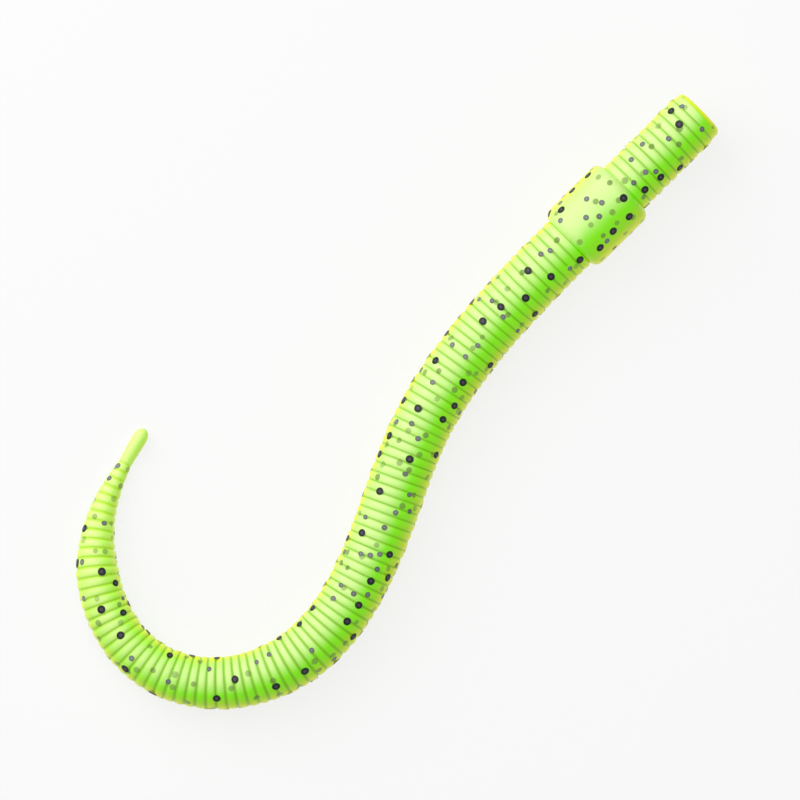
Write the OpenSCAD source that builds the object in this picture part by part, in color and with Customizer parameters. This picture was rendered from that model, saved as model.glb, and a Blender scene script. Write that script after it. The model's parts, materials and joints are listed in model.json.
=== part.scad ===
// Soft plastic worm: a ringed finesse worm, cast in one pour with glitter flakes.
// It lies in its natural curl on a flat surface, with its nose face at the origin
// and looking along +X. Up is +Z. The body is modelled as rigid sections with a
// V-shaped band of two soft rings between each pair, where the worm bends.

/* [Length] */
// Length of the worm along its own curve
worm_length = 115; // [90:1:150]
// Length of the smooth band behind the flat nose
nose_band = 1.3; // [1:0.1:2.5]
// Length of the ringed neck between the nose band and the collar
neck_length = 10; // [8:0.5:14]
// Length of the smooth collar
collar_length = 7.9; // [5:0.1:12]
// Length of the smooth lobe at the end of the tail
tip_length = 4.1; // [3:0.1:6]

/* [Girth] */
// Diameter of the flat-faced nose
nose_d = 5.7; // [4.5:0.1:7]
// Diameter of the neck over its rings
neck_d = 6; // [4.8:0.1:7]
// Diameter of the collar
collar_d = 7.7; // [6.6:0.1:10]
// Diameter of the front half of the body over its rings
body_d = 6.3; // [5:0.1:7.6]
// Diameter of the body where the last taper begins
rear_d = 4.8; // [3.8:0.1:5.8]
// Diameter of the tail where it is thinnest
tail_d = 1.4; // [1.2:0.1:2]
// Diameter of the lobe at the tip
tip_d = 1.56; // [1.3:0.02:2.4]

/* [Rings] */
// Depth of the groove between two rings
groove_depth = 0.16; // [0.05:0.01:0.25]
// Share of each ring's length that is flat on its crest
crest_share = 0.45; // [0.2:0.05:0.7]
// Radius of the rounded rim of the nose
nose_rim = 0.6; // [0.2:0.05:1]
// Radius of the collar's shoulders
shoulder = 1; // [0.4:0.05:1.4]

/* [Flexing] */
// Clearance between a section and the soft band beside it
band_gap = 0.03; // [0.02:0.005:0.06]
// How far each band reaches past its outer grooves
band_inset = 0.12; // [0.05:0.01:0.2]

/* [Flakes] */
// Diameter of the large glitter flakes
large_flake = 0.89; // [0.5:0.01:1]
// Diameter of the small glitter flakes
small_flake = 0.635; // [0.3:0.005:0.8]
// Thickness of a flake
flake_t = 0.05; // [0.03:0.01:0.1]
// Clearance round a flake in its pocket
pocket_gap = 0.02; // [0.01:0.005:0.04]
// Depth of the flakes under the surface
flake_cover = 0.28; // [0.24:0.01:0.4]
// Spacing of the large flakes round the worm
flake_spacing = 6.5; // [5:0.1:9]

/* [Hidden] */
$fn = 48;
CHARTREUSE = "yellowgreen";
CHARTREUSE_SOFT = "greenyellow";
BLACK_FLAKE = "black";

// Ten neck rings and 96 body rings. Two of every five neck rings and two of every
// six body rings are soft: the rest belong to the rigid sections between them.
NECK_RINGS = 10;
BODY_RINGS = 96;
GROUP = 6;
GROUPS = BODY_RINGS / GROUP;
JOINTS = GROUPS + 2;
RINGS = NECK_RINGS + BODY_RINGS;
ALL_SECTIONS = [for (k = [0 : JOINTS]) k];

collar_start = nose_band + neck_length;
collar_end = collar_start + collar_length;
tip_start = worm_length - tip_length;
neck_pitch = neck_length / NECK_RINGS;
body_pitch = (tip_start - collar_end) / BODY_RINGS;

// How the worm curls: [share of its length, degrees turned in a hundredth of it]
BENDS = [[0, 0], [0.17, 0], [0.25, 0.8], [0.31, 0.9], [0.38, 2.1], [0.45, -0.1],
         [0.52, -1.5], [0.61, -4.2], [0.69, -4.5], [0.76, -6.1], [0.84, -4.3],
         [0.92, -4.2], [1, 1.4]];
// How the girth runs from the collar to the tip: [share of that stretch, diameter]
BODY_GIRTH = [[0, body_d], [0.38, body_d - 0.06], [0.57, (3 * body_d + rear_d) / 4 - 0.03],
              [0.82, rear_d], [0.87, rear_d - 0.25], [1, tail_d]];
// Length behind the collar over which the belly comes down to the surface
SETTLE = 14;

// The centreline, walked in short straight steps from the nose
STEPS = 240;
step = worm_length / STEPS;
function turned(i) = lookup((i + 0.5) / STEPS, BENDS) * 100 / STEPS;
headings = [for (i = 0, h = 180; i <= STEPS; h = h + turned(i), i = i + 1) h];
function stride(i) = let(h = (headings[i] + headings[min(i + 1, STEPS)]) / 2)
    step * [cos(h), sin(h)];
track = [for (i = 0, p = [0, 0]; i <= STEPS; p = p + stride(i), i = i + 1) p];

function along(list, s) =
    let(u = min(max(s / step, 0), STEPS), i = min(floor(u), STEPS - 1))
    list[i] + (u - i) * (list[i + 1] - list[i]);
function ease(t) = let(u = min(max(t, 0), 1)) u * u * (3 - 2 * u);

// Radius over the rings, the height of the centreline and its slope, at distance s
function girth(s) = s < collar_start ? neck_d / 2
    : s < collar_end ? collar_d / 2
    : s < tip_start ? lookup((s - collar_end) / (tip_start - collar_end), BODY_GIRTH) / 2
    : lookup((s - tip_start) / tip_length, [[0, tail_d], [0.6, tip_d]]) / 2;
function height(s) =
    (girth(max(s, collar_end)) - collar_d / 2) * ease((s - collar_end) / SETTLE);
function climb(s) = atan((height(s + 1) - height(s - 1)) / 2);

// Places its children on the centreline at s: local +Z runs on towards the tail
module at(s) {
    translate([along(track, s)[0], along(track, s)[1], height(s)])
        rotate([0, 90 - climb(s), along(headings, s)])
            children();
}

// Rings are numbered from the nose, neck rings first. The thin end of the tail has
// grooves of this share of its radius.
THIN_GROOVE = 0.11;
function ring_pitch(i) = i < NECK_RINGS ? neck_pitch : body_pitch;
function ring_at(i) = i < NECK_RINGS ? nose_band + (i + 0.5) * neck_pitch
    : collar_end + (i - NECK_RINGS + 0.5) * body_pitch;
function ring_depth(i) = min(groove_depth, THIN_GROOVE * girth(ring_at(i)));

// One ring: a disc with a flat crest and sloping flanks, which run on into the next
// ring. A whole ring reaches this many times half its pitch to each side.
RUN_ON = 1.5;
module ring(i) {
    r = girth(ring_at(i));
    half = ring_pitch(i) / 2;
    crest = half * crest_share;
    slope = ring_depth(i) / (half - crest);
    width = RUN_ON * half;
    foot = r - (width - crest) * slope;
    at(ring_at(i))
        rotate_extrude()
            polygon([[0, -width], [foot, -width], [r, -crest],
                     [r, crest], [foot, width], [0, width]]);
}

module rings(first, last) {
    for (i = [first : last]) ring(i);
}

// Joint j lies in the groove between two soft rings, first_soft(j) and the next.
// Its hinge line crosses the worm there, a quarter turn round from the last one.
function first_soft(j) = j == 1 ? 3 : j == 2 ? 8 : NECK_RINGS + (j - 3) * GROUP;
function joint_at(j) = ring_at(first_soft(j)) + ring_pitch(first_soft(j)) / 2;
function joint_r(j) = girth(joint_at(j));
function hinge_roll(j) = 90 * (j + 1);
function v_slope(j) = (ring_pitch(first_soft(j)) + band_inset) / joint_r(j);

// A prism along hinge line j: its outline runs [across the worm, towards the tail]
module along_hinge(j, outline) {
    at(joint_at(j))
        rotate([0, 0, hinge_roll(j)])
            rotate([90, 0, 90])
                linear_extrude(height = 4 * joint_r(j), center = true)
                    polygon(outline);
}

// The space that a section leaves at joint j: side is 1 for the section behind it
module v_cut(j, side) {
    reach = 2 * joint_r(j);
    tall = 3 * ring_pitch(first_soft(j));
    rise = reach * v_slope(j) + band_gap;
    along_hinge(j, [for (p = [[-reach, -tall], [reach, -tall], [reach, rise],
                              [0, band_gap], [-reach, rise]]) [p[0], side * p[1]]]);
}

// The wedges that fill joint j on both sides of its hinge line
module soft_wedges(j) {
    reach = 2 * joint_r(j);
    rise = reach * v_slope(j) - band_gap;
    start = band_gap / v_slope(j);
    for (way = [-1, 1])
        along_hinge(j, [[way * start, 0], [way * reach, -rise], [way * reach, rise]]);
}

module flex_band(j) {
    color(CHARTREUSE_SOFT)
        intersection() {
            rings(first_soft(j), first_soft(j) + 1);
            soft_wedges(j);
        }
}

// The smooth parts: nose band, collar and tip
module nose_blank() {
    r = nose_d / 2;
    long = nose_band + neck_pitch / 4;
    at(0)
        rotate_extrude() {
            square([r - nose_rim, long]);
            translate([0, nose_rim]) square([r, long - nose_rim]);
            translate([r - nose_rim, nose_rim]) circle(r = nose_rim, $fn = 96);
        }
}

module collar_blank() {
    r = collar_d / 2;
    at(collar_start + collar_length / 2)
        translate([0, 0, -collar_length / 2])
            rotate_extrude() {
                square([r - shoulder, collar_length]);
                translate([0, shoulder]) square([r, collar_length - 2 * shoulder]);
                for (end = [shoulder, collar_length - shoulder])
                    translate([r - shoulder, end]) circle(r = shoulder, $fn = 96);
            }
}

module tip_blank() {
    lobe = tip_d / 2;
    bite = body_pitch / 2;
    at(tip_start + tip_length / 2)
        translate([0, 0, -tip_length / 2]) {
            translate([0, 0, -bite])
                cylinder(h = tip_length - lobe + bite, r1 = tail_d / 2, r2 = lobe);
            translate([0, 0, tip_length - lobe]) sphere(r = lobe);
        }
}

// The solid of section k, between joints k and k + 1, before its flakes go in
module section_blank(k) {
    first = k == 0 ? 0 : first_soft(k) + 1;
    last = k == JOINTS ? RINGS - 1 : first_soft(k + 1);
    difference() {
        union() {
            rings(first, last);
            if (k == 0) nose_blank();
            if (k == 2) collar_blank();
            if (k == JOINTS) tip_blank();
        }
        if (k > 0) v_cut(k, 1);
        if (k < JOINTS) v_cut(k + 1, -1);
    }
}

// A repeatable scatter between 0 and 1 for flake n
function scatter(n, seed) = let(v = sin(n * 127.1 + seed * 311.7) * 437.5) v - floor(v);

// Flakes lie in rows, [distance, count, diameter]: the collar has five rows, and each
// other section a row of large ones at its middle with a row of small ones on each side
COLLAR_ROWS = 5;
ROW_STEP = 0.9;
function round_count(s) = max(1, round(2 * PI * girth(s) / flake_spacing));
function middle(k) = k == 0 ? nose_band + neck_pitch
    : k == JOINTS ? ring_at(RINGS - 2)
    : (joint_at(k) + joint_at(k + 1)) / 2;
function collar_row(i) = let(s = collar_start + (i + 1.5) * collar_length / (COLLAR_ROWS + 2))
    [s, round_count(s), i % 2 == 0 ? large_flake : small_flake];
function section_row(k, i) =
    let(s = middle(k) + i * ROW_STEP * ring_pitch(first_soft(max(k, 1))), n = round_count(s))
    [s, i == 0 ? n : max(1, n - 1), i == 0 && n > 1 ? large_flake : small_flake];
function flake_rows(k) = k == 2 ? [for (i = [0 : COLLAR_ROWS - 1]) collar_row(i)]
    : [for (i = [-1 : 1]) section_row(k, i)];

// All the flakes of section k, each grown by the clearance given. Every second row is
// turned by half a space, and each flake strays a little from its place.
STRAY_ROUND = 24;
STRAY_ALONG = 0.2;
module flakes(k, gap) {
    rows = flake_rows(k);
    for (row = [0 : len(rows) - 1], f = [0 : rows[row][1] - 1]) {
        s = rows[row][0];
        d = rows[row][2];
        n = k * 20 + row * 5 + f;
        space = 360 / round_count(s);
        spin = 360 * scatter(k, 3) + space * (f + row / 2) + STRAY_ROUND * (scatter(n, 1) - 0.5);
        at(s + STRAY_ALONG * (scatter(n, 2) - 0.5))
            rotate([0, 0, spin])
                translate([girth(s) - flake_cover, 0, 0])
                    rotate([0, -90, 0])
                        translate([0, 0, -gap])
                            cylinder(h = flake_t + 2 * gap, d = d + 2 * gap);
    }
}

module section(k) {
    color(CHARTREUSE)
        difference() {
            section_blank(k);
            flakes(k, pocket_gap);
        }
}

module section_flakes(k) {
    color(BLACK_FLAKE) flakes(k, 0);
}

// Names: sections and their flakes by place, bands by their joint
function two_digits(n) = str(n < 10 ? "0" : "", n);
function place(k) = k == 0 ? "nose" : k == 1 ? "neck" : k == 2 ? "collar"
    : k == JOINTS ? "tail" : str("body_", two_digits(k - 2));
function section_name(k) = str(place(k), "_section");
function flakes_name(k) = str(place(k), "_flakes");
function band_name(j) = str("flex_band_", two_digits(j));

for (k = ALL_SECTIONS) {
    section(k);
    section_flakes(k);
}
for (j = [1 : JOINTS])
    flex_band(j);
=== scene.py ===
# %% [markdown]
# # A ringed soft plastic worm
#
# The real worm is poured in one shot: warm liquid plastic with glitter flakes stirred in fills a
# two-part mould, and the mould's ribs press about a hundred rings into the skin. What is to be
# made here is that one skin with its rings, the flakes that show through it, and the plastic.
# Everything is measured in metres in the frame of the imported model, so the first step is to
# load that model and keep its box: the finished looks have to stay inside it.

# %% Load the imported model
import json
import math
import random

import bpy
import numpy as np
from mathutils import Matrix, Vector


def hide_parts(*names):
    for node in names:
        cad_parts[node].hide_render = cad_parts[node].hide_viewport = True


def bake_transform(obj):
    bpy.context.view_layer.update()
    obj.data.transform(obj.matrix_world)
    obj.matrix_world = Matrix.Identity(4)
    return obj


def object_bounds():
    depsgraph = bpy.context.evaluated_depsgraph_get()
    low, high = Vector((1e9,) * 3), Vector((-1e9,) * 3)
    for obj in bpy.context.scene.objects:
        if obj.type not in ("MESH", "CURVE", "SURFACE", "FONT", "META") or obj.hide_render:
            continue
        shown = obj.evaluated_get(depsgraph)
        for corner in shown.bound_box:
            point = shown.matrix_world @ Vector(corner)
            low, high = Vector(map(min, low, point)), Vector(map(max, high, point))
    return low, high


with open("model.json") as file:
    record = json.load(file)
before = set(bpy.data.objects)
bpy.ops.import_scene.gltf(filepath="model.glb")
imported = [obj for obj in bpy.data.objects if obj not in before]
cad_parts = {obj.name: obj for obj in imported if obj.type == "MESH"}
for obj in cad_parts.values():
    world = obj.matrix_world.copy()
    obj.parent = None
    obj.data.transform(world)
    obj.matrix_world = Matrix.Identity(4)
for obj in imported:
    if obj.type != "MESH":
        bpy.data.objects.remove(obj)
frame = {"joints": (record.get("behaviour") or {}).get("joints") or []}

MM = 0.001
cad_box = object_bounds()
print("the CAD box in mm:", [[round(v / MM, 2) for v in corner] for corner in cad_box])

# %% [markdown]
# ## Camera
#
# A product shot of a flat-lying lure is taken straight from above with a long lens, which keeps
# the near and the far side of the worm the same size. The camera is turned about its own axis so
# that the head runs up to the right. Its height follows from the lens and the width of the view.

# %% Camera
LENS = 300
SENSOR = 36
VIEW_WIDTH = 82.9 * MM
VIEW_CENTRE = Vector((-43.2 * MM, 0.8 * MM, 0))
VIEW_TURN = math.radians(-44.83)

camera = bpy.data.objects.new("camera", bpy.data.cameras.new("camera"))
bpy.context.scene.collection.objects.link(camera)
camera.data.lens = LENS
camera.data.sensor_width = SENSOR
camera.data.clip_start = 10 * MM
camera.data.clip_end = 10
camera.location = VIEW_CENTRE + Vector((0, 0, VIEW_WIDTH * LENS / SENSOR))
camera.rotation_euler = (0, 0, VIEW_TURN)
bpy.context.scene.camera = camera
print("the camera stands", round(camera.location.z / MM), "mm above the worm")

# %% [markdown]
# ## Writing node trees as expressions
#
# Both the shapes and the finishes below are node trees. Placing every Math node by hand hides the
# formula, so a small class wraps a socket and turns + - * / into Math nodes, and one method makes
# any other node from its type, its settings and the values or links of its sockets.

# %% Node helpers
class Value:
    """A number socket. Sums, differences, products and quotients of it add Math nodes."""

    def __init__(self, graph, socket):
        self.graph = graph
        self.socket = socket

    def math(self, operation, *others):
        inputs = dict(enumerate((self, *others)))
        return self.graph.node("ShaderNodeMath", {"operation": operation}, inputs)

    def __add__(self, other):
        return self.math("ADD", other)

    def __sub__(self, other):
        return self.math("SUBTRACT", other)

    def __rsub__(self, other):
        return self.graph.node("ShaderNodeMath", {"operation": "SUBTRACT"}, {0: other, 1: self})

    def __mul__(self, other):
        return self.math("MULTIPLY", other)

    def __truediv__(self, other):
        return self.math("DIVIDE", other)


def find_socket(sockets, key):
    """The first socket in use with that name, or the one at that place among those in use."""
    used = [s for s in sockets if s.enabled]
    return used[key] if isinstance(key, int) else next(s for s in used if s.name == key)


class Graph:
    """A node tree that is being built."""

    def __init__(self, tree):
        self.tree = tree

    def node(self, kind, settings=None, inputs=None, output=0):
        """Adds a node and returns one of its outputs, or None if it has none."""
        made = self.tree.nodes.new(kind)
        for name, value in (settings or {}).items():
            setattr(made, name, value)
        for key, value in (inputs or {}).items():
            socket = find_socket(made.inputs, key)
            if isinstance(value, Value):
                self.tree.links.new(value.socket, socket)
            else:
                socket.default_value = value
        return Value(self, find_socket(made.outputs, output)) if made.outputs else None

    def other(self, value, name):
        """Another output of the node that a value came from."""
        return Value(self, find_socket(value.socket.node.outputs, name))

    def mix(self, share, a, b):
        """A blend of two colours, all a at share 0 and all b at share 1."""
        settings = {"data_type": "RGBA"}
        return self.node("ShaderNodeMix", settings, {"Factor": share, "A": a, "B": b}, "Result")

    def smooth(self, value, low, high):
        """0 below low, 1 above high, and a smooth rise between them."""
        settings = {"interpolation_type": "SMOOTHSTEP"}
        inputs = {"Value": value, "From Min": low, "From Max": high}
        return self.node("ShaderNodeMapRange", settings, inputs)


print("node helpers are ready")

# %% [markdown]
# ## The worm's own measures
#
# The worm lies in a curve, and it is far easier to describe when it is laid out straight. So
# each rule here is a function of the distance along the worm, measured from the flat of its
# nose: how much it bends, how thick it is, and how high its middle lies. These are the rules
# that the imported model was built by, so the looks follow it without any fitting.

# %% Length, bends and girth
WORM_LENGTH = 115 * MM
NOSE_BAND = 1.3 * MM
NECK_LENGTH = 10 * MM
COLLAR_LENGTH = 7.9 * MM
TIP_LENGTH = 4.1 * MM

NOSE_D = 5.7 * MM
NECK_D = 6 * MM
COLLAR_D = 7.7 * MM
BODY_D = 6.3 * MM
REAR_D = 4.8 * MM
TAIL_D = 1.4 * MM
TIP_D = 1.56 * MM

COLLAR_START = NOSE_BAND + NECK_LENGTH
COLLAR_END = COLLAR_START + COLLAR_LENGTH
TIP_START = WORM_LENGTH - TIP_LENGTH
SETTLE = 14 * MM  # behind the collar, the stretch over which the belly comes down

# Share of the length, and degrees turned in a hundredth of it
BENDS = np.array([(0, 0), (0.17, 0), (0.25, 0.8), (0.31, 0.9), (0.38, 2.1), (0.45, -0.1),
                  (0.52, -1.5), (0.61, -4.2), (0.69, -4.5), (0.76, -6.1), (0.84, -4.3),
                  (0.92, -4.2), (1, 1.4)])
# Share of the stretch from the collar to the tip, and diameter
BODY_GIRTH = np.array([(0, BODY_D), (0.38, BODY_D - 0.06 * MM),
                       (0.57, (3 * BODY_D + REAR_D) / 4 - 0.03 * MM),
                       (0.82, REAR_D), (0.87, REAR_D - 0.25 * MM), (1, TAIL_D)])
TIP_GIRTH = np.array([(0, TAIL_D), (0.6, TIP_D)])


def look_up(share, table):
    """The table's value at a share, in a straight line from one row to the next."""
    return np.interp(share, table[:, 0], table[:, 1])


def ease(share):
    """A smooth rise from 0 to 1 as the share does."""
    share = np.clip(share, 0, 1)
    return share * share * (3 - 2 * share)


def girth(s):
    """Radius over the rings at distance s."""
    body = look_up((s - COLLAR_END) / (TIP_START - COLLAR_END), BODY_GIRTH) / 2
    tip = look_up((s - TIP_START) / TIP_LENGTH, TIP_GIRTH) / 2
    head = np.where(s < COLLAR_START, NECK_D / 2, COLLAR_D / 2)
    return np.where(s < COLLAR_END, head, np.where(s < TIP_START, body, tip))


def height(s):
    """Height of the worm's middle: behind the collar its belly comes down to the surface."""
    drop = girth(np.maximum(s, COLLAR_END)) - COLLAR_D / 2
    return drop * ease((s - COLLAR_END) / SETTLE)


for name, s in (("neck", COLLAR_START / 2), ("collar", COLLAR_END - 1 * MM), ("tip", TIP_START)):
    print(name, "diameter", round(float(2 * girth(np.array(s)) / MM), 2), "mm")

# %% [markdown]
# The bends give a heading at each of 240 short steps, and walking along those headings gives the
# centreline. At any distance between two steps, three arrows stand on it: forward towards the
# tail, across to the side, and upward. A ring is then a circle drawn with across and upward.

# %% Centreline
STEPS = 240
STEP = WORM_LENGTH / STEPS
turned = look_up((np.arange(STEPS) + 0.5) / STEPS, BENDS) * 100 / STEPS
headings = np.radians(180 + np.concatenate([[0], np.cumsum(turned)]))
middles = (headings[:-1] + headings[1:]) / 2
strides = STEP * np.stack([np.cos(middles), np.sin(middles)], 1)
track = np.concatenate([[[0, 0]], np.cumsum(strides, 0)])
stations = np.arange(STEPS + 1) * STEP
SLOPE_SPAN = 1 * MM


def place(s):
    """Points of the centreline at distances s."""
    flat = [np.interp(s, stations, track[:, i]) for i in (0, 1)]
    return np.stack([*flat, height(s)], -1)


def arrows(s):
    """Unit arrows forward, across and upward at distances s."""
    heading = np.interp(s, stations, headings)
    climb = np.arctan2(height(s + SLOPE_SPAN) - height(s - SLOPE_SPAN), 2 * SLOPE_SPAN)
    zero = np.zeros_like(heading)
    way = np.stack([np.cos(heading), np.sin(heading), zero], -1)
    up = np.stack([zero, zero, zero + 1], -1)
    c, d = np.cos(climb)[..., None], np.sin(climb)[..., None]
    across = np.stack([-np.sin(heading), np.cos(heading), zero], -1)
    return way * c + up * d, across, up * c - way * d


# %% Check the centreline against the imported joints
NECK_RINGS = 10
BODY_RINGS = 96
NECK_PITCH = NECK_LENGTH / NECK_RINGS
BODY_PITCH = (TIP_START - COLLAR_END) / BODY_RINGS
GROUP = 6  # rings from one joint of the body to the next

joint_places = [NOSE_BAND + 4 * NECK_PITCH, NOSE_BAND + 9 * NECK_PITCH]
joint_places += [COLLAR_END + (GROUP * i + 1) * BODY_PITCH for i in range(BODY_RINGS // GROUP)]
joint_places = np.array(joint_places)
packed = np.array([joint["pos_m"] for joint in frame["joints"]])
worst = np.abs(place(joint_places) - packed).max()
print(len(packed), "joints, the farthest", round(worst / MM, 4), "mm from the centreline")

# %% [markdown]
# ## The outline
#
# Turned straight, the worm would be a thing made on a lathe, so its shape is one outline: a list
# of distances and radii. Each ring is a broad round crest between two narrow grooves, which is
# what a rib of a mould leaves. The nose is a flat face with a rounded rim, the collar a smooth
# barrel with round shoulders, and the tip a smooth lobe. Real rings aren't all alike, so each
# groove's depth varies a little, by a seeded draw.

# %% Outline
GROOVE_DEPTH = 0.16 * MM
THIN_GROOVE = 0.11  # where the worm is thin, a groove's depth as a share of the radius
GROOVE_MOST = 1.15
GROOVE_SPREAD = 0.35
CREST_POWER = 2.5
NOSE_RIM = 0.6 * MM
SHOULDER = 1 * MM
TIP_CAP = 1.1 * MM
# Places across one ring, closer together towards the groove
RING_SAMPLES = np.array([-0.5, -0.46, -0.4, -0.31, -0.2, -0.07, 0.07, 0.2, 0.31, 0.4, 0.46])
# How many rows each smooth part gets
FACE_ROWS = 7
RIM_ROWS = 9
NOSE_BAND_ROWS = 3
SHOULDER_ROWS = 10
COLLAR_BAND_ROWS = 18
TIP_ROWS = 13
CAP_ROWS = 12

groove_draw = random.Random(11)
outline = []  # distance, radius, radius over the rings, depth share of the groove


def add_row(s, r, crest=None, groove=0.0):
    """One row. Where nothing is said of rings, the skin lies as high as their crests would."""
    outline.append((s, r, r if crest is None else crest, groove))


def add_ring(start, pitch):
    """One ring's rows, from the bottom of its front groove to just before the next one."""
    depth = min(GROOVE_DEPTH, THIN_GROOVE * float(girth(np.array(start + pitch / 2))))
    depth *= GROOVE_MOST - GROOVE_SPREAD * groove_draw.random()
    for u in RING_SAMPLES:
        s = start + (u + 0.5) * pitch
        crest = float(girth(np.array(s)))
        share = abs(2 * u) ** CREST_POWER
        add_row(s, crest - depth * share, crest, share)


def add_rings(start, pitch, count):
    for i in range(count):
        add_ring(start + i * pitch, pitch)


def add_band(start, end, r, rows):
    """The rows between the two ends of a smooth, even stretch."""
    for s in np.linspace(start, end, rows + 2)[1:-1]:
        add_row(s, r)


def add_round(end, way, size, r, degrees):
    """A rounded edge of radius size. At 0 degrees it lies in its end plane, at 90 on the radius r."""
    for a in np.radians(degrees):
        add_row(end + way * size * (1 - math.cos(a)), r - size * (1 - math.sin(a)))


nose_r = NOSE_D / 2
collar_r = COLLAR_D / 2
cap_start = WORM_LENGTH - TIP_CAP
cap_r = float(girth(np.array(cap_start)))
shoulder_degrees = np.linspace(0, 90, SHOULDER_ROWS)

for r in np.linspace(0, nose_r - NOSE_RIM, FACE_ROWS + 1)[:-1]:
    add_row(0.0, r)
add_round(0, 1, NOSE_RIM, nose_r, np.linspace(0, 90, RIM_ROWS))
add_band(NOSE_RIM, NOSE_BAND, nose_r, NOSE_BAND_ROWS)
add_rings(NOSE_BAND, NECK_PITCH, NECK_RINGS)
add_round(COLLAR_START, 1, SHOULDER, collar_r, shoulder_degrees)
add_band(COLLAR_START + SHOULDER, COLLAR_END - SHOULDER, collar_r, COLLAR_BAND_ROWS)
# The row in the end plane is left out, because the first ring of the body starts there
add_round(COLLAR_END, -1, SHOULDER, collar_r, shoulder_degrees[:0:-1])
add_rings(COLLAR_END, BODY_PITCH, BODY_RINGS)
for s in np.linspace(TIP_START, cap_start, TIP_ROWS + 1)[:-1]:
    add_row(s, float(girth(np.array(s))))
for a in np.radians(np.linspace(0, 90, CAP_ROWS)):
    add_row(WORM_LENGTH - TIP_CAP * (1 - math.sin(a)), cap_r * math.cos(a))

outline = np.array(outline)
distance, radius, crest, groove = outline.T
radius[-1] = 0
tangents = np.gradient(outline[:, :2], axis=0)
tangents /= np.linalg.norm(tangents, axis=1)[:, None]
row_steps = np.linalg.norm(np.diff(outline[:, :2], axis=0), axis=1)
run = np.concatenate([[0], np.cumsum(row_steps)])  # length along the outline itself
print(len(outline), "rows, with an outline", round(run[-1] / MM, 1), "mm long")

# %% [markdown]
# The node trees need this outline as something they can sample. It goes into a helper object: a
# chain of points that lie straight, one for each row, at the outline's own length. Each point
# carries its place on the curved worm, its three arrows, its radii and the outline's own slope
# as named attributes.

# %% Outline object
def store(mesh, name, kind, values):
    """A point attribute of a mesh, filled from an array."""
    made = mesh.attributes.new(name, kind, "POINT")
    field = "vector" if kind == "FLOAT_VECTOR" else "value"
    made.data.foreach_set(field, np.asarray(values, np.float32).ravel())


forward, across, upward = arrows(distance)
chain = bpy.data.meshes.new("outline")
links = [(i, i + 1) for i in range(len(run) - 1)]
chain.from_pydata([(x, 0, 0) for x in run], links, [])
VECTORS = {"place": place(distance), "forward": forward, "across": across, "upward": upward}
NUMBERS = {"radius_here": radius, "crest": crest, "distance": distance, "groove": groove,
           "lean": -tangents[:, 1], "rise": tangents[:, 0]}
for name, values in VECTORS.items():
    store(chain, name, "FLOAT_VECTOR", values)
for name, values in NUMBERS.items():
    store(chain, name, "FLOAT", values)
outline_object = bpy.data.objects.new("outline", chain)
bpy.context.scene.collection.objects.link(outline_object)
print("the outline carries", ", ".join([*VECTORS, *NUMBERS]))

# %% [markdown]
# ## Wrapping a flat sheet round the worm
#
# The skin and the flakes are both drawn flat first, like a label before it goes round a bottle:
# one side runs along the outline and the other round the worm. This group of nodes carries such
# a flat point onto the worm. It looks up the row at the point's length, steps out by the
# radius, and adds a lift along the surface's own slope. Bridge 1 goes over the grooves.

# %% Wrap group
def new_group(name, inputs, outputs):
    """An empty node group with named sockets, as a graph and its two end nodes."""
    tree = bpy.data.node_groups.new(name, "GeometryNodeTree")
    for way, sockets in (("INPUT", inputs), ("OUTPUT", outputs)):
        for label, kind in sockets.items():
            tree.interface.new_socket(name=label, in_out=way, socket_type="NodeSocket" + kind)
    graph = Graph(tree)
    start = tree.nodes.new("NodeGroupInput")
    end = tree.nodes.new("NodeGroupOutput")
    return graph, {s.name: Value(graph, s) for s in start.outputs if s.name}, end


TINY = 1e-6  # keeps a division safe where the worm's radius comes down to 0


def scaled(graph, vector, scale):
    inputs = {"Vector": vector, "Scale": scale}
    return graph.node("ShaderNodeVectorMath", {"operation": "SCALE"}, inputs)


def summed(graph, a, b):
    return graph.node("ShaderNodeVectorMath", {"operation": "ADD"}, {0: a, 1: b})


def sample_row(graph, curve, length, name, kind):
    """The named attribute of the outline at a length along it."""
    field = graph.node("GeometryNodeInputNamedAttribute", {"data_type": kind}, {"Name": name})
    inputs = {"Curves": curve, "Value": field, "Length": length}
    return graph.node("GeometryNodeSampleCurve", {"mode": "LENGTH", "data_type": kind}, inputs)


wrap, given, end = new_group(
    "wrap",
    {"Outline": "Geometry", "Length": "Float", "Turn": "Float", "Side": "Float",
     "Lift": "Float", "Bridge": "Float"},
    {"Position": "Vector", "Distance": "Float", "Groove": "Float", "Facing": "Vector",
     "Arc": "Float"})
rows = {name: sample_row(wrap, given["Outline"], given["Length"], name, "FLOAT_VECTOR")
        for name in VECTORS}
rows |= {name: sample_row(wrap, given["Outline"], given["Length"], name, "FLOAT")
         for name in NUMBERS}
angle = given["Turn"] + given["Side"] / (rows["crest"] + TINY)
bridge = given["Bridge"]
reach = rows["radius_here"] * (1 - bridge) + rows["crest"] * bridge
rise = rows["rise"] * (1 - bridge) + bridge
lean = rows["lean"] * (1 - bridge)
out = reach + rise * given["Lift"]
facing = summed(wrap, scaled(wrap, rows["upward"], angle.math("COSINE")),
                scaled(wrap, rows["across"], angle.math("SINE")))
spot = summed(wrap, rows["place"], scaled(wrap, rows["forward"], lean * given["Lift"]))
spot = summed(wrap, spot, scaled(wrap, facing, out))
results = {"Position": spot, "Distance": rows["distance"], "Groove": rows["groove"],
           "Facing": facing, "Arc": angle * rows["crest"]}
for name, value in results.items():
    wrap.tree.links.new(value.socket, end.inputs[name])
print("the wrap group has", len(wrap.tree.nodes), "nodes")

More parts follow.
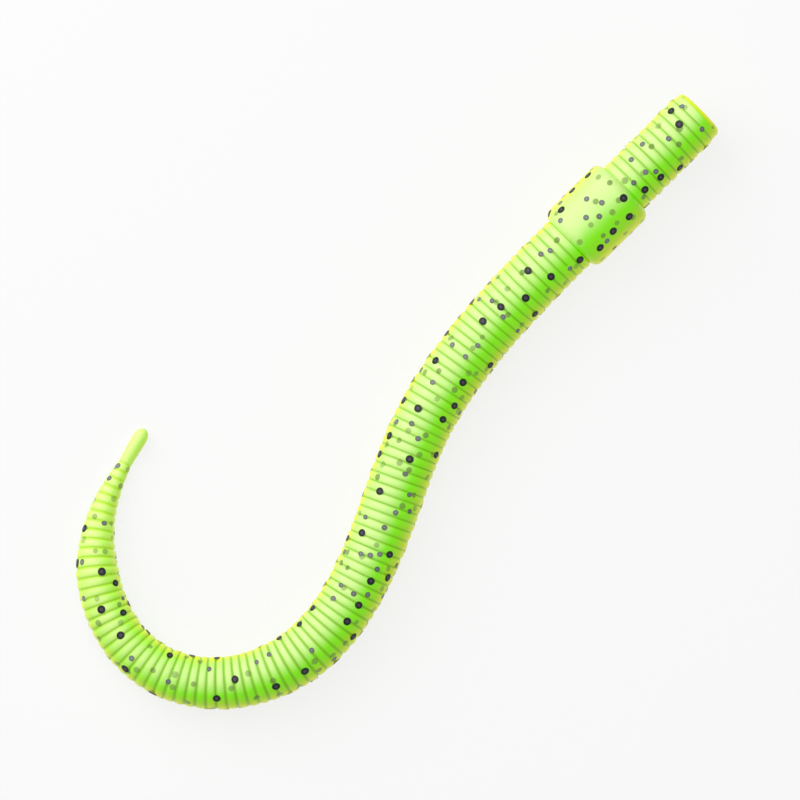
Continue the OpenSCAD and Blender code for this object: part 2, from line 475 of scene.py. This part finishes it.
# %% [markdown]
# ## The plastic
#
# Soft lure plastic is a clear, oily gel with fluorescent dye, so its colour depends on how the
# light goes through it. The skin knows which way it faces, and its colour is laid out by that:
# lime over the back, and gold down the flanks and under the belly, which is partly a two-tone
# dye and partly painted glow of light through the thin edge. A pale stripe a little to the side
# of the back is a painted highlight of the lamp on that side. The grooves are a darker green,
# which is painted shade.
# The tail is thin, so it is paler, and so are its grooves. On the flat of the nose no point
# faces one way round more than another, so it is plain gold.
#
# The plastic glows a little: a faint emission in the dye's colour, stronger on the flanks. It is
# partly the fluorescence of the dye and partly painted glow, which lifts the shaded side in place
# of the light that would pass through the gel. Some flakes lie so deep that only a soft olive
# spot is left of them. Those spots are a pattern on the skin, laid out on the flat sheet so that
# it follows the worm. A thin soft coat makes the skin look oily.

# %% Plastic colour
# Painted highlight: the paler colour of the stripe that faces the key lamp
PAINTED_HIGHLIGHT = (0.60, 0.85, 0.26, 1)
LIME = (0.24, 0.88, 0.001, 1)
# Gold on the flanks and belly: partly a two-tone dye, partly painted glow of light through the thin
# edge
GOLD = (0.68, 0.76, 0.001, 1)
# Painted shade in the grooves: a darker green, and a lighter lime where the tail is thin
PAINTED_GROOVE_SHADE = (0.19, 0.48, 0.001, 1)
TAIL_PALE = (0.68, 0.90, 0.20, 1)
TAIL_GROOVE_SHADE = (0.42, 0.74, 0.001, 1)
DEEP_OLIVE = (0.15, 0.26, 0.04, 1)

UP = (0, 0, 1)
# The way the painted highlight faces: tilted from straight up towards the key lamp
HIGHLIGHT_TILT = math.radians(28)
HIGHLIGHT_WAY = (0, math.sin(HIGHLIGHT_TILT), math.cos(HIGHLIGHT_TILT))
# How squarely the skin faces a way, where a colour sets in and where it is full
LIME_BACK = (0.28, 0.93)
PAINTED_HIGHLIGHT_RANGE = (0.6, 1.02)
CLOUD_SIZE = 2.2 * MM
CLOUD_DEPTH = 0.3
# Shares of the length between which the worm grows thin, and between which it curls
THIN = (0.7, 0.93)
CURL = (0.5, 0.65)
THIN_PALER = 0.6
# Depth shares of a groove where its painted shade sets in and is full, and how far each drops in the
# curl
GROOVE_SHADE_FROM = 0.18
GROOVE_SHADE_FULL = 0.95
CURL_FROM_DROP = 0.1
CURL_FULL_DROP = 0.25
GROOVE_SHADE_SHARE = 0.75


def attribute(graph, name):
    """A number that the mesh carries."""
    return graph.node("ShaderNodeAttribute", {"attribute_name": name}, {}, "Fac")


def off_the_face(graph):
    """0 on the nose's flat end face and 1 behind its rounded rim."""
    return graph.smooth(attribute(graph, "along") * WORM_LENGTH, 0, NOSE_RIM)


def towards(graph, way):
    """How squarely the side of the worm faces a way, from -1 to 1, and 0 on the nose's face."""
    facing = graph.node("ShaderNodeAttribute", {"attribute_name": "facing"}, {}, "Vector")
    settings = {"operation": "DOT_PRODUCT"}
    share = graph.node("ShaderNodeVectorMath", settings, {0: facing, 1: way}, "Value")
    return share * off_the_face(graph)


def noise(graph, size, detail):
    """Cloudy variation between 0 and 1, with clouds about as large as size."""
    where = graph.node("ShaderNodeTexCoord", {}, {}, "Object")
    inputs = {"Vector": where, "Scale": 1 / size, "Detail": detail}
    return graph.node("ShaderNodeTexNoise", {}, inputs)


def clouds(graph, size, detail, depth):
    """The same to both sides of 0, at most depth from one side to the other."""
    return (noise(graph, size, detail) - 0.5) * depth


def spread(value, least, more):
    """The least where value is 0, and that much more where it is 1."""
    return value * more + least


def plastic_colour(graph):
    """Dye, painted highlight and painted groove shade round the worm, before any flakes."""
    cloud = clouds(graph, CLOUD_SIZE, 2, CLOUD_DEPTH)
    back = graph.smooth(towards(graph, UP) + cloud, *LIME_BACK)
    # Painted highlight, where the skin faces the key lamp
    painted_highlight_share = graph.smooth(towards(graph, HIGHLIGHT_WAY) + cloud * 0.5, *PAINTED_HIGHLIGHT_RANGE)
    colour = graph.mix(painted_highlight_share, graph.mix(back, GOLD, LIME), PAINTED_HIGHLIGHT)
    along = attribute(graph, "along")
    thin = graph.smooth(along, *THIN)
    colour = graph.mix(thin * THIN_PALER, colour, TAIL_PALE)
    curled = graph.smooth(along, *CURL)
    low = GROOVE_SHADE_FROM - curled * CURL_FROM_DROP
    high = GROOVE_SHADE_FULL - curled * CURL_FULL_DROP
    # Painted shade: the grooves are drawn darker, over a broader band where the worm curls
    groove_shade = graph.smooth(attribute(graph, "groove"), low, high)
    return graph.mix(groove_shade * GROOVE_SHADE_SHARE, colour, graph.mix(thin, PAINTED_GROOVE_SHADE, TAIL_GROOVE_SHADE))


def plastic_bump(graph):
    """The slight unevenness of a poured, oily skin."""
    inputs = {"Strength": 0.25, "Distance": 0.02 * MM, "Height": noise(graph, 0.5 * MM, 3)}
    return graph.node("ShaderNodeBump", {}, inputs)


# %% Plastic material
DEEP_CELL = 2.0 * MM  # the size of the squares that hold one spot each
DEEP_SHARE = 0.6  # how many of the squares have a spot
DEEP_R = 0.40 * MM
DEEP_EDGE = (0.72, 1.12)  # a spot's soft edge, in shares of its radius
# The least, and how much more there can be
DEEP_SIZE = (0.75, 0.25)
DEEP_STRENGTH = (0.5, 0.4)


def deep_spots(graph):
    """Round soft spots in random places of the flat sheet, 1 in their middle."""
    sheet = graph.node("ShaderNodeUVMap", {"uv_map": "sheet"})
    settings = {"voronoi_dimensions": "2D"}
    inputs = {"Vector": sheet, "Scale": MM / DEEP_CELL, "Randomness": 0.85}
    near = graph.node("ShaderNodeTexVoronoi", settings, inputs, "Distance")
    draws = {"Color": graph.other(near, "Color")}  # three random numbers for each square
    red = graph.node("ShaderNodeSeparateColor", {}, draws, "Red")
    size = spread(graph.other(red, "Green"), *DEEP_SIZE) * (DEEP_R / DEEP_CELL)
    strength = spread(graph.other(red, "Blue"), *DEEP_STRENGTH)
    spot = (1 - graph.smooth(near / size, *DEEP_EDGE)) * off_the_face(graph)
    return spot * red.math("LESS_THAN", DEEP_SHARE) * strength


# Painted glow: an emission in the surface's own colour, more on the flanks, that lifts the shaded
# side
PAINTED_GLOW = 0.16
FLANK_PAINTED_GLOW = 0.16  # what the flanks glow on top of that
FLANK = (0, 0.75)  # how squarely a flank faces up or down, from where it glows most to not at all
PLASTIC_COAT = 0.4
FILM_COAT = 0.1
DULL_GROOVE = (0.3, 1)  # depth shares of a groove between which the coat thins out
DULL_SHARE = 0.8  # how much of the coat is gone at the bottom
ROUGHNESS = (0.34, 0.12)


def finish(graph, colour, coat):
    """Ends a material of the worm. Its oily coat thins out in the grooves."""
    flank = 1 - graph.smooth(towards(graph, UP).math("ABSOLUTE"), *FLANK)
    # Painted glow in the surface's colour, more on the flanks
    painted_glow = graph.mix(spread(flank, PAINTED_GLOW, FLANK_PAINTED_GLOW), (0, 0, 0, 1), colour)
    dull = graph.smooth(attribute(graph, "groove"), *DULL_GROOVE)
    wet = coat - dull * (coat * DULL_SHARE)
    roughness = spread(noise(graph, 1.5 * MM, 2), *ROUGHNESS)
    inputs = {"Base Color": colour, "Roughness": roughness, "Normal": plastic_bump(graph),
              "IOR": 1.5, "Specular IOR Level": 0.2, "Coat Weight": wet, "Coat Roughness": 0.3,
              "Coat IOR": 1.5, "Emission Color": painted_glow, "Emission Strength": 1.0}
    surface = graph.node("ShaderNodeBsdfPrincipled", {}, inputs)
    graph.node("ShaderNodeOutputMaterial", {}, {"Surface": surface})


def new_material(name):
    """An empty material, and its node tree as a graph."""
    made = bpy.data.materials.new(name)
    made.use_nodes = True
    made.node_tree.nodes.clear()
    return made, Graph(made.node_tree)


worm_plastic, graph = new_material("worm_plastic")
colour = graph.mix(deep_spots(graph), plastic_colour(graph), DEEP_OLIVE)
finish(graph, colour, PLASTIC_COAT)
print("worm_plastic has", len(worm_plastic.node_tree.nodes), "nodes")

# %% [markdown]
# ## The skin
#
# The skin is a flat grid with one row of points for each row of the outline, wrapped round the
# worm by the group above and closed along the belly. Geometry Nodes suit it, because a hundred
# rings follow one rule. The worm bends at eighteen joints, and a piece can only bend between
# two bodies, so the skin is cut into eighteen lengths with a joint in each. Each cut lies in the
# bottom of a groove between two joints, clear of where the skin bends, and no seam shows there.

# %% What the trees of the skin and the flakes share
def outline_in(graph, given):
    """The outline's points, and the curve through them that the wrap group samples."""
    points = graph.node("GeometryNodeObjectInfo", {}, {"Object": given["Outline"]}, "Geometry")
    return points, graph.node("GeometryNodeMeshToCurve", {}, {"Mesh": points})


def stored(graph, geometry, name, value, kind="FLOAT", domain="POINT"):
    """The geometry with one more named attribute."""
    settings = {"data_type": kind, "domain": domain}
    inputs = {"Geometry": geometry, "Name": name, "Value": value}
    return graph.node("GeometryNodeStoreNamedAttribute", settings, inputs)


def carried(graph, shape, wrapped):
    """A flat shape moved onto the worm, which keeps what its material asks for."""
    shape = stored(graph, shape, "facing", graph.other(wrapped, "Facing"), "FLOAT_VECTOR")
    shape = stored(graph, shape, "along", graph.other(wrapped, "Distance") / WORM_LENGTH)
    return graph.node("GeometryNodeSetPosition", {}, {"Geometry": shape, "Position": wrapped})


def end_tree(graph, shape, material, end):
    """The shape shaded smooth, made real geometry and given its material."""
    shape = graph.node("GeometryNodeSetShadeSmooth", {}, {"Geometry": shape})
    shape = graph.node("GeometryNodeRealizeInstances", {}, {"Geometry": shape})
    shape = graph.node("GeometryNodeSetMaterial", {}, {"Geometry": shape, "Material": material})
    graph.tree.links.new(shape.socket, end.inputs["Geometry"])


print("tree helpers are ready")

# %% Skin tree
AROUND = 96  # faces round the worm
WELD = 1.5e-6  # closes the belly, and the middles of the nose's face and of the tip
skin, given, end = new_group(
    "skin",
    {"Geometry": "Geometry", "Outline": "Object", "First row": "Int", "Last row": "Int",
     "Around": "Int", "Plastic": "Material"},
    {"Geometry": "Geometry"})
chain_points, curve = outline_in(skin, given)
span = given["Last row"] - given["First row"]
sizes = {"Size X": span, "Size Y": 1.0, "Vertices X": span + 1, "Vertices Y": given["Around"] + 1}
sheet = skin.node("GeometryNodeMeshGrid", {}, sizes)
where = skin.node("GeometryNodeInputPosition")
# On the sheet x counts rows from its middle. On the outline's points it is the length along it.
x = skin.node("ShaderNodeSeparateXYZ", {}, {"Vector": where}, "X")
row = (given["First row"] + span / 2 + x).math("ROUND")
length = skin.node("GeometryNodeSampleIndex", {"data_type": "FLOAT"},
                   {"Geometry": chain_points, "Value": x, "Index": row})
turn = skin.other(x, "Y") * math.tau
wrapped = skin.node("GeometryNodeGroup", {"node_tree": wrap.tree},
                    {"Outline": curve, "Length": length, "Turn": turn})
unrolled = skin.node("ShaderNodeCombineXYZ", {}, {
    "X": skin.other(wrapped, "Distance") / MM, "Y": skin.other(wrapped, "Arc") / MM})
shape = stored(skin, sheet, "sheet", unrolled, "FLOAT2", "CORNER")
shape = stored(skin, shape, "groove", skin.other(wrapped, "Groove"))
shape = carried(skin, shape, wrapped)
shape = skin.node("GeometryNodeMergeByDistance", {}, {"Geometry": shape, "Distance": WELD})
end_tree(skin, shape, given["Plastic"], end)
print("the skin tree has", len(skin.tree.nodes), "nodes")

# %% Cuts and pieces of skin
def grown(name, mesh, graph, inputs):
    """A new object whose plain mesh is what the tree makes of a starting mesh."""
    start = bpy.data.objects.new(name + "_start", mesh)
    bpy.context.scene.collection.objects.link(start)
    modifier = start.modifiers.new("tree", "NODES")
    modifier.node_group = graph.tree
    for item in graph.tree.interface.items_tree:
        if item.in_out == "INPUT" and item.name in inputs:
            modifier[item.identifier] = inputs[item.name]
    depsgraph = bpy.context.evaluated_depsgraph_get()
    made = bpy.data.meshes.new_from_object(start.evaluated_get(depsgraph))
    start.modifiers.clear()
    bpy.data.objects.remove(start)
    made.name = name
    piece = bpy.data.objects.new(name, made)
    bpy.context.scene.collection.objects.link(piece)
    return piece


GROUPS = BODY_RINGS // GROUP
cuts = [0, NOSE_BAND + 6 * NECK_PITCH, COLLAR_END]
cuts += [COLLAR_END + (GROUP * i + 4) * BODY_PITCH for i in range(GROUPS - 1)] + [WORM_LENGTH]
cut_rows = [0] + [int(np.argmin(np.abs(distance - s))) for s in cuts[1:-1]] + [len(outline) - 1]
bodies = ["nose", "neck", "collar"] + [f"body_{i:02d}" for i in range(1, GROUPS)] + ["tail"]

skins = []
for j, body in enumerate(bodies[1:]):
    inputs = {"Outline": outline_object, "First row": cut_rows[j], "Last row": cut_rows[j + 1],
              "Around": AROUND, "Plastic": worm_plastic}
    skins.append(grown(body + "_skin", bpy.data.meshes.new("blank"), skin, inputs))
print(len(skins), "pieces of skin with", sum(len(p.data.polygons) for p in skins), "faces")

# %% [markdown]
# ## The glitter
#
# Glitter for lures is punched from black film in two sizes. The pour carries the flakes to all
# depths. The ones just under the skin show black or grey, and they are real discs here. Each
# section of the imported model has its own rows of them, and the same rule gives their places
# again. More are then dropped at random between them, all along the worm, and each draw that
# lands too near another flake is thrown away. Five lie on the flat of the nose.

# %% Where the flakes lie
LARGE = 0.89 * MM
SMALL = 0.635 * MM
FLAKE_SPACING = 6.5 * MM
COLLAR = 2  # the collar's place among the sections
COLLAR_ROWS = 5
ROW_STEP = 0.9  # from one row to the next, in rings
SECTION_SEEDS = 20
ROW_SEEDS = 5
STRAY_ROUND = 24  # degrees
STRAY_ALONG = 0.2 * MM
JOINTS = len(frame["joints"])


def scatter(n, seed):
    """A number between 0 and 1 that looks random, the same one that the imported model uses."""
    value = math.sin(math.radians(n * 127.1 + seed * 311.7)) * 437.5
    return value - math.floor(value)


def radius_at(s):
    return float(girth(np.array(s)))


def flake_rows(k):
    """Rows of section k: distance, number and diameter."""
    rows = []
    if k == COLLAR:
        for i in range(COLLAR_ROWS):
            s = COLLAR_START + (i + 1.5) * COLLAR_LENGTH / (COLLAR_ROWS + 2)
            rows.append((s, round_count(s), LARGE if i % 2 == 0 else SMALL))
        return rows
    if k == 0:
        middle = NOSE_BAND + NECK_PITCH
    elif k == JOINTS:
        middle = TIP_START - 1.5 * BODY_PITCH
    else:
        middle = (joint_places[k - 1] + joint_places[k]) / 2
    pitch = NECK_PITCH if k < COLLAR else BODY_PITCH
    for i in (-1, 0, 1):
        s = middle + i * ROW_STEP * pitch
        n = round_count(s)
        rows.append((s, n if i == 0 else max(1, n - 1), LARGE if i == 0 and n > 1 else SMALL))
    return rows


def round_count(s):
    """How many flakes go round the worm at distance s."""
    return max(1, math.floor(math.tau * radius_at(s) / FLAKE_SPACING + 0.5))


flakes = []  # distance along the worm, turn round it, diameter
for k in range(JOINTS + 1):
    for row_number, (s, count, size) in enumerate(flake_rows(k)):
        for f in range(count):
            n = k * SECTION_SEEDS + row_number * ROW_SEEDS + f
            space = 360 / round_count(s)
            spin = 360 * scatter(k, 3) + space * (f + row_number / 2)
            spin += STRAY_ROUND * (scatter(n, 1) - 0.5)
            s_here = s + STRAY_ALONG * (scatter(n, 2) - 0.5)
            flakes.append((s_here, math.pi - math.radians(spin), size))
print(len(flakes), "flakes in the rows of the sections")

# %% Flakes dropped between the rows
EXTRA_LARGE = 76
EXTRA_SMALL = 96
LARGE_ROOM = 1.9 * MM
SMALL_ROOM = 0.9 * MM
END_ROOM = 0.7 * MM


def far_enough(s, turn, room, others):
    """True if no other flake lies nearer than room, measured on the skin."""
    for s2, turn2, _ in others:
        side = math.remainder(turn - turn2, math.tau) * radius_at(s)
        if math.hypot(s - s2, side) < room:
            return False
    return True


flake_draw = random.Random(23)
for size, wanted, room in ((LARGE, EXTRA_LARGE, LARGE_ROOM), (SMALL, EXTRA_SMALL, SMALL_ROOM)):
    dropped = 0
    while dropped < wanted:
        s = flake_draw.uniform(END_ROOM, TIP_START + END_ROOM)
        turn = flake_draw.uniform(-math.pi, math.pi)
        if flake_draw.random() * COLLAR_D / 2 > radius_at(s):
            continue  # a thin stretch has less skin, so it gets fewer flakes
        if far_enough(s, turn, room, flakes):
            flakes.append((s, turn, size))
            dropped += 1

# On the flat of the nose: distance from its middle, turn, diameter
NOSE_FLAKES = [(1.9 * MM, 0.4, LARGE), (0.7 * MM, 2.2, SMALL), (1.7 * MM, -1.1, SMALL),
               (2.05 * MM, -2.5, SMALL), (1.6 * MM, 1.5, SMALL)]
print(len(flakes) + len(NOSE_FLAKES), "flakes in all")

# %% [markdown]
# One flake is a thin round blank: a flat top, and a side that goes down into the skin. The tree
# puts a copy of it on every point, gives it its size and carries it onto the worm with the same
# wrap group as the skin, so each flake takes the worm's roundness but bridges the narrow
# grooves. The film is black or grey. Its lighter middle is a painted reflection on the glossy
# film, and the gel softens the very edge.

# %% Flake blank
SIDES = 16
RINGS = (0.45, 0.8, 1.0)  # radii of the top's rings of points, for a flake of radius 1
points = [(0, 0, 1)]
for ring in RINGS:
    for i in range(SIDES):
        a = math.tau * i / SIDES
        points.append((ring * math.cos(a), ring * math.sin(a), 1))
points += [(x, y, 0) for x, y, _ in points[-SIDES:]]
faces = [(0, 1 + i, 1 + (i + 1) % SIDES) for i in range(SIDES)]
for ring in range(len(RINGS)):
    a, b = 1 + ring * SIDES, 1 + (ring + 1) * SIDES
    faces += [(a + i, b + i, b + (i + 1) % SIDES, a + (i + 1) % SIDES) for i in range(SIDES)]
faces.append(tuple(reversed(range(len(points) - SIDES, len(points)))))
blank = bpy.data.meshes.new("flake_blank")
blank.from_pydata(points, [], faces)
blank_object = bpy.data.objects.new("flake_blank", blank)
bpy.context.scene.collection.objects.link(blank_object)
print("one flake has", len(faces), "faces")

# %% Flake tree
LIFT = 0.014 * MM  # how far a flake's top stands out of the skin
ROOT = 0.05 * MM  # how far its side goes down into it
glitter, given, end = new_group(
    "glitter",
    {"Geometry": "Geometry", "Outline": "Object", "Blank": "Object", "Lift": "Float",
     "Root": "Float", "Film": "Material"},
    {"Geometry": "Geometry"})
_, curve = outline_in(glitter, given)
blank_geometry = glitter.node("GeometryNodeObjectInfo", {}, {"Object": given["Blank"]}, "Geometry")
shape = glitter.node("GeometryNodeInstanceOnPoints", {},
                     {"Points": given["Geometry"], "Instance": blank_geometry})
shape = glitter.node("GeometryNodeRealizeInstances", {}, {"Geometry": shape})


def named(graph, name):
    """A number that the flake's point carries."""
    return graph.node("GeometryNodeInputNamedAttribute", {"data_type": "FLOAT"}, {"Name": name})


where = glitter.node("GeometryNodeInputPosition")
x = glitter.node("ShaderNodeSeparateXYZ", {}, {"Vector": where}, "X")
y = glitter.other(x, "Y")
z = glitter.other(x, "Z")
half = named(glitter, "size") / 2
wrapped = glitter.node("GeometryNodeGroup", {"node_tree": wrap.tree}, {
    "Outline": curve, "Length": named(glitter, "run") + x * half, "Turn": named(glitter, "turn"),
    "Side": y * half, "Lift": z * given["Lift"] - (1 - z) * given["Root"], "Bridge": z})
rim = (x * x + y * y).math("SQRT")
shape = carried(glitter, stored(glitter, shape, "rim", rim), wrapped)
end_tree(glitter, shape, given["Film"], end)
print("the glitter tree has", len(glitter.tree.nodes), "nodes")

# %% Film material
BLACK = (0.006, 0.006, 0.009, 1)
# The lighter middles of the flakes are painted reflection on the glossy film
BLACK_REFLECTION = (0.07, 0.06, 0.09, 1)
GREY = (0.17, 0.19, 0.17, 1)
GREY_REFLECTION = (0.27, 0.27, 0.27, 1)
# Shares of a flake's radius: the fade of the painted reflection in its middle, and the gel's soft
# edge
BLACK_REFLECTION_FADE = (0.05, 0.55)
GREY_REFLECTION_FADE = (0.05, 0.6)
SOFT_EDGE = (0.88, 1.04)
SOFTNESS = (0.5, 0.35)  # at a black flake's edge, and how much more at a grey one's

glitter_flake, graph = new_material("glitter_flake")
rim = attribute(graph, "rim")
shade = attribute(graph, "shade") + clouds(graph, 3 * MM, 1, 0.2)
# Painted reflection: each flake is lighter in its middle than at its edge
dark = graph.mix(graph.smooth(rim, *BLACK_REFLECTION_FADE), BLACK_REFLECTION, BLACK)
pale = graph.mix(graph.smooth(rim, *GREY_REFLECTION_FADE), GREY_REFLECTION, GREY)
soft = graph.smooth(rim, *SOFT_EDGE) * spread(shade, *SOFTNESS)
film = graph.mix(soft, graph.mix(shade, dark, pale), plastic_colour(graph))
finish(graph, film, FILM_COAT)
print("glitter_flake has", len(glitter_flake.node_tree.nodes), "nodes")

# %% Pieces of glitter
SHADES = {LARGE: 0.0, SMALL: 1.0}  # 0 is black and 1 is grey
SHADE_LEAST = 0.6  # the darkest of the grey ones


def flake_points(name, low, high, more):
    """A mesh of points that carry the flakes between two distances, and some more."""
    chosen = [(float(np.interp(s, distance, run)), turn, size)
              for s, turn, size in flakes if low <= s < high]
    chosen += more
    mesh = bpy.data.meshes.new(name)
    mesh.from_pydata([(0, 0, 0)] * len(chosen), [], [])
    for column, label in enumerate(("run", "turn", "size")):
        store(mesh, label, "FLOAT", [flake[column] for flake in chosen])
    shades = [SHADES[size] * flake_draw.uniform(SHADE_LEAST, 1) for _, _, size in chosen]
    store(mesh, "shade", "FLOAT", shades)
    return mesh


glitters = []
for j, body in enumerate(bodies[1:]):
    mesh = flake_points(body + "_points", cuts[j], cuts[j + 1], NOSE_FLAKES if j == 0 else [])
    inputs = {"Outline": outline_object, "Blank": blank_object, "Lift": LIFT, "Root": ROOT,
              "Film": glitter_flake}
    glitters.append(grown(body + "_glitter", mesh, glitter, inputs))
for helper in (outline_object, blank_object):
    bpy.data.objects.remove(helper)
print(len(glitters), "pieces of glitter with", sum(len(p.data.polygons) for p in glitters), "faces")

# %% [markdown]
# ## Where the pieces would bend
#
# A rubbery worm bends smoothly over a few rings. For each piece of skin, and the glitter on it,
# the stretch is worked out over which it would blend from the body before its joint to the body
# behind it. The blend may not go past a cut, or the next piece would part from it. On a
# curved stretch a cut lies slanted to the line that the blend runs along, so the blend is
# shortened by that slant. The pieces have their transforms baked in, and the imported sections,
# bands and flakes that they stand for are hidden.

# %% Blend ends, and hiding the CAD nodes that the pieces stand for
REACH = [2 * NECK_PITCH, 2 * NECK_PITCH] + [3 * BODY_PITCH] * GROUPS
SLANT = 1.05


def blend_ends(j):
    """The two distances between which piece j bends."""
    middle, reach = joint_places[j], REACH[j]
    low, high = max(middle - reach, cuts[j]), min(middle + reach, cuts[j + 1])
    turn = np.interp(high, stations, headings) - np.interp(low, stations, headings)
    slack = SLANT * radius_at(middle) * abs(math.sin(turn / 2))
    return low + slack, high - slack


for j, body in enumerate(bodies[1:]):
    low, high = blend_ends(j)
    start, end = (tuple(float(v) for v in place(np.array(s))) for s in (low, high))
    for piece in (skins[j], glitters[j]):
        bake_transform(piece)
        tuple(end)
    number = j + 1
    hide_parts(f"{body}_section", f"flex_band_{number:02d}")
    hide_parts(f"{body}_flakes")
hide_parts("nose_section")
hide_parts("nose_flakes")
print("pieces bend over", [round((b - a) / MM, 1) for a, b in map(blend_ends, range(JOINTS))], "mm")

# %% [markdown]
# ## Floor and light
#
# The worm lies on a plain white sheet under one large soft lamp, which stands beyond the worm's
# upper left side and leaves a faint gloss along it. A weaker lamp overhead and the white
# surroundings fill the rest, because dark shadows would kill the glow of the dye. The sheet
# is mostly clear to the camera, which then sees the white surroundings behind it. It still
# takes a soft shadow, and a tail that is bent down through it stays in sight.

# %% Floor
FLOOR_HALF = 4
FLOOR_WHITE = 0.86
FLOOR_CLEAR = 0.8
SEEN = ("Camera", "Glossy", "Transmission")


def on_rays(graph, *kinds):
    """1 on rays of any of these kinds and 0 on all others."""
    first = graph.node("ShaderNodeLightPath", {}, {}, f"Is {kinds[0]} Ray")
    share = first
    for kind in kinds[1:]:
        share = share.math("MAXIMUM", graph.other(first, f"Is {kind} Ray"))
    return share


floor_mesh = bpy.data.meshes.new("floor")
z = cad_box[0].z
corners = [(x * FLOOR_HALF, y * FLOOR_HALF, z) for x, y in ((-1, -1), (1, -1), (1, 1), (-1, 1))]
floor_mesh.from_pydata(corners, [], [(0, 1, 2, 3)])
floor = bpy.data.objects.new("floor", floor_mesh)
bpy.context.scene.collection.objects.link(floor)

floor_white, graph = new_material("floor_white")
clear_share = (on_rays(graph, *SEEN) * FLOOR_CLEAR).math("MAXIMUM", on_rays(graph, "Shadow"))
white = (FLOOR_WHITE, FLOOR_WHITE, FLOOR_WHITE, 1)
paint = graph.node("ShaderNodeBsdfDiffuse", {}, {"Color": white})
clear = graph.node("ShaderNodeBsdfTransparent", {}, {"Color": (1, 1, 1, 1)})
both = graph.node("ShaderNodeMixShader", {}, {0: clear_share, 1: paint, 2: clear})
graph.node("ShaderNodeOutputMaterial", {}, {"Surface": both})
floor_mesh.materials.append(floor_white)
print("the floor lies at", round(z / MM, 2), "mm")

# %% Lamps and world
WORLD_LEVEL = 0.36
LAMP_DISTANCE = 0.3


def lamp(name, azimuth, elevation, size, power):
    """A square soft lamp that faces the middle of the view."""
    data = bpy.data.lights.new(name, "AREA")
    data.size = size
    data.energy = power
    made = bpy.data.objects.new(name, data)
    a, e = math.radians(azimuth), math.radians(elevation)
    away = Vector((math.cos(a) * math.cos(e), math.sin(a) * math.cos(e), math.sin(e)))
    made.location = VIEW_CENTRE + away * LAMP_DISTANCE
    made.rotation_euler = away.to_track_quat("Z", "Y").to_euler()
    made.visible_camera = False
    bpy.context.scene.collection.objects.link(made)


lamp("key", azimuth=92, elevation=36, size=0.32, power=0.75)
lamp("overhead", azimuth=60, elevation=80, size=0.2, power=0.2)

world = bpy.data.worlds.new("surroundings")
bpy.context.scene.world = world
world.use_nodes = True
world.node_tree.nodes.clear()
graph = Graph(world.node_tree)
light = graph.node("ShaderNodeBackground", {}, {"Color": (1, 1, 1, 1), "Strength": WORLD_LEVEL})
shown = graph.node("ShaderNodeBackground", {}, {"Color": (1, 1, 1, 1), "Strength": 1.0})
both = graph.node("ShaderNodeMixShader", {}, {0: on_rays(graph, *SEEN), 1: light, 2: shown})
graph.node("ShaderNodeOutputWorld", {}, {"Surface": both})
bpy.context.scene.view_settings.view_transform = "Standard"
print("two lamps, and a world at", WORLD_LEVEL)
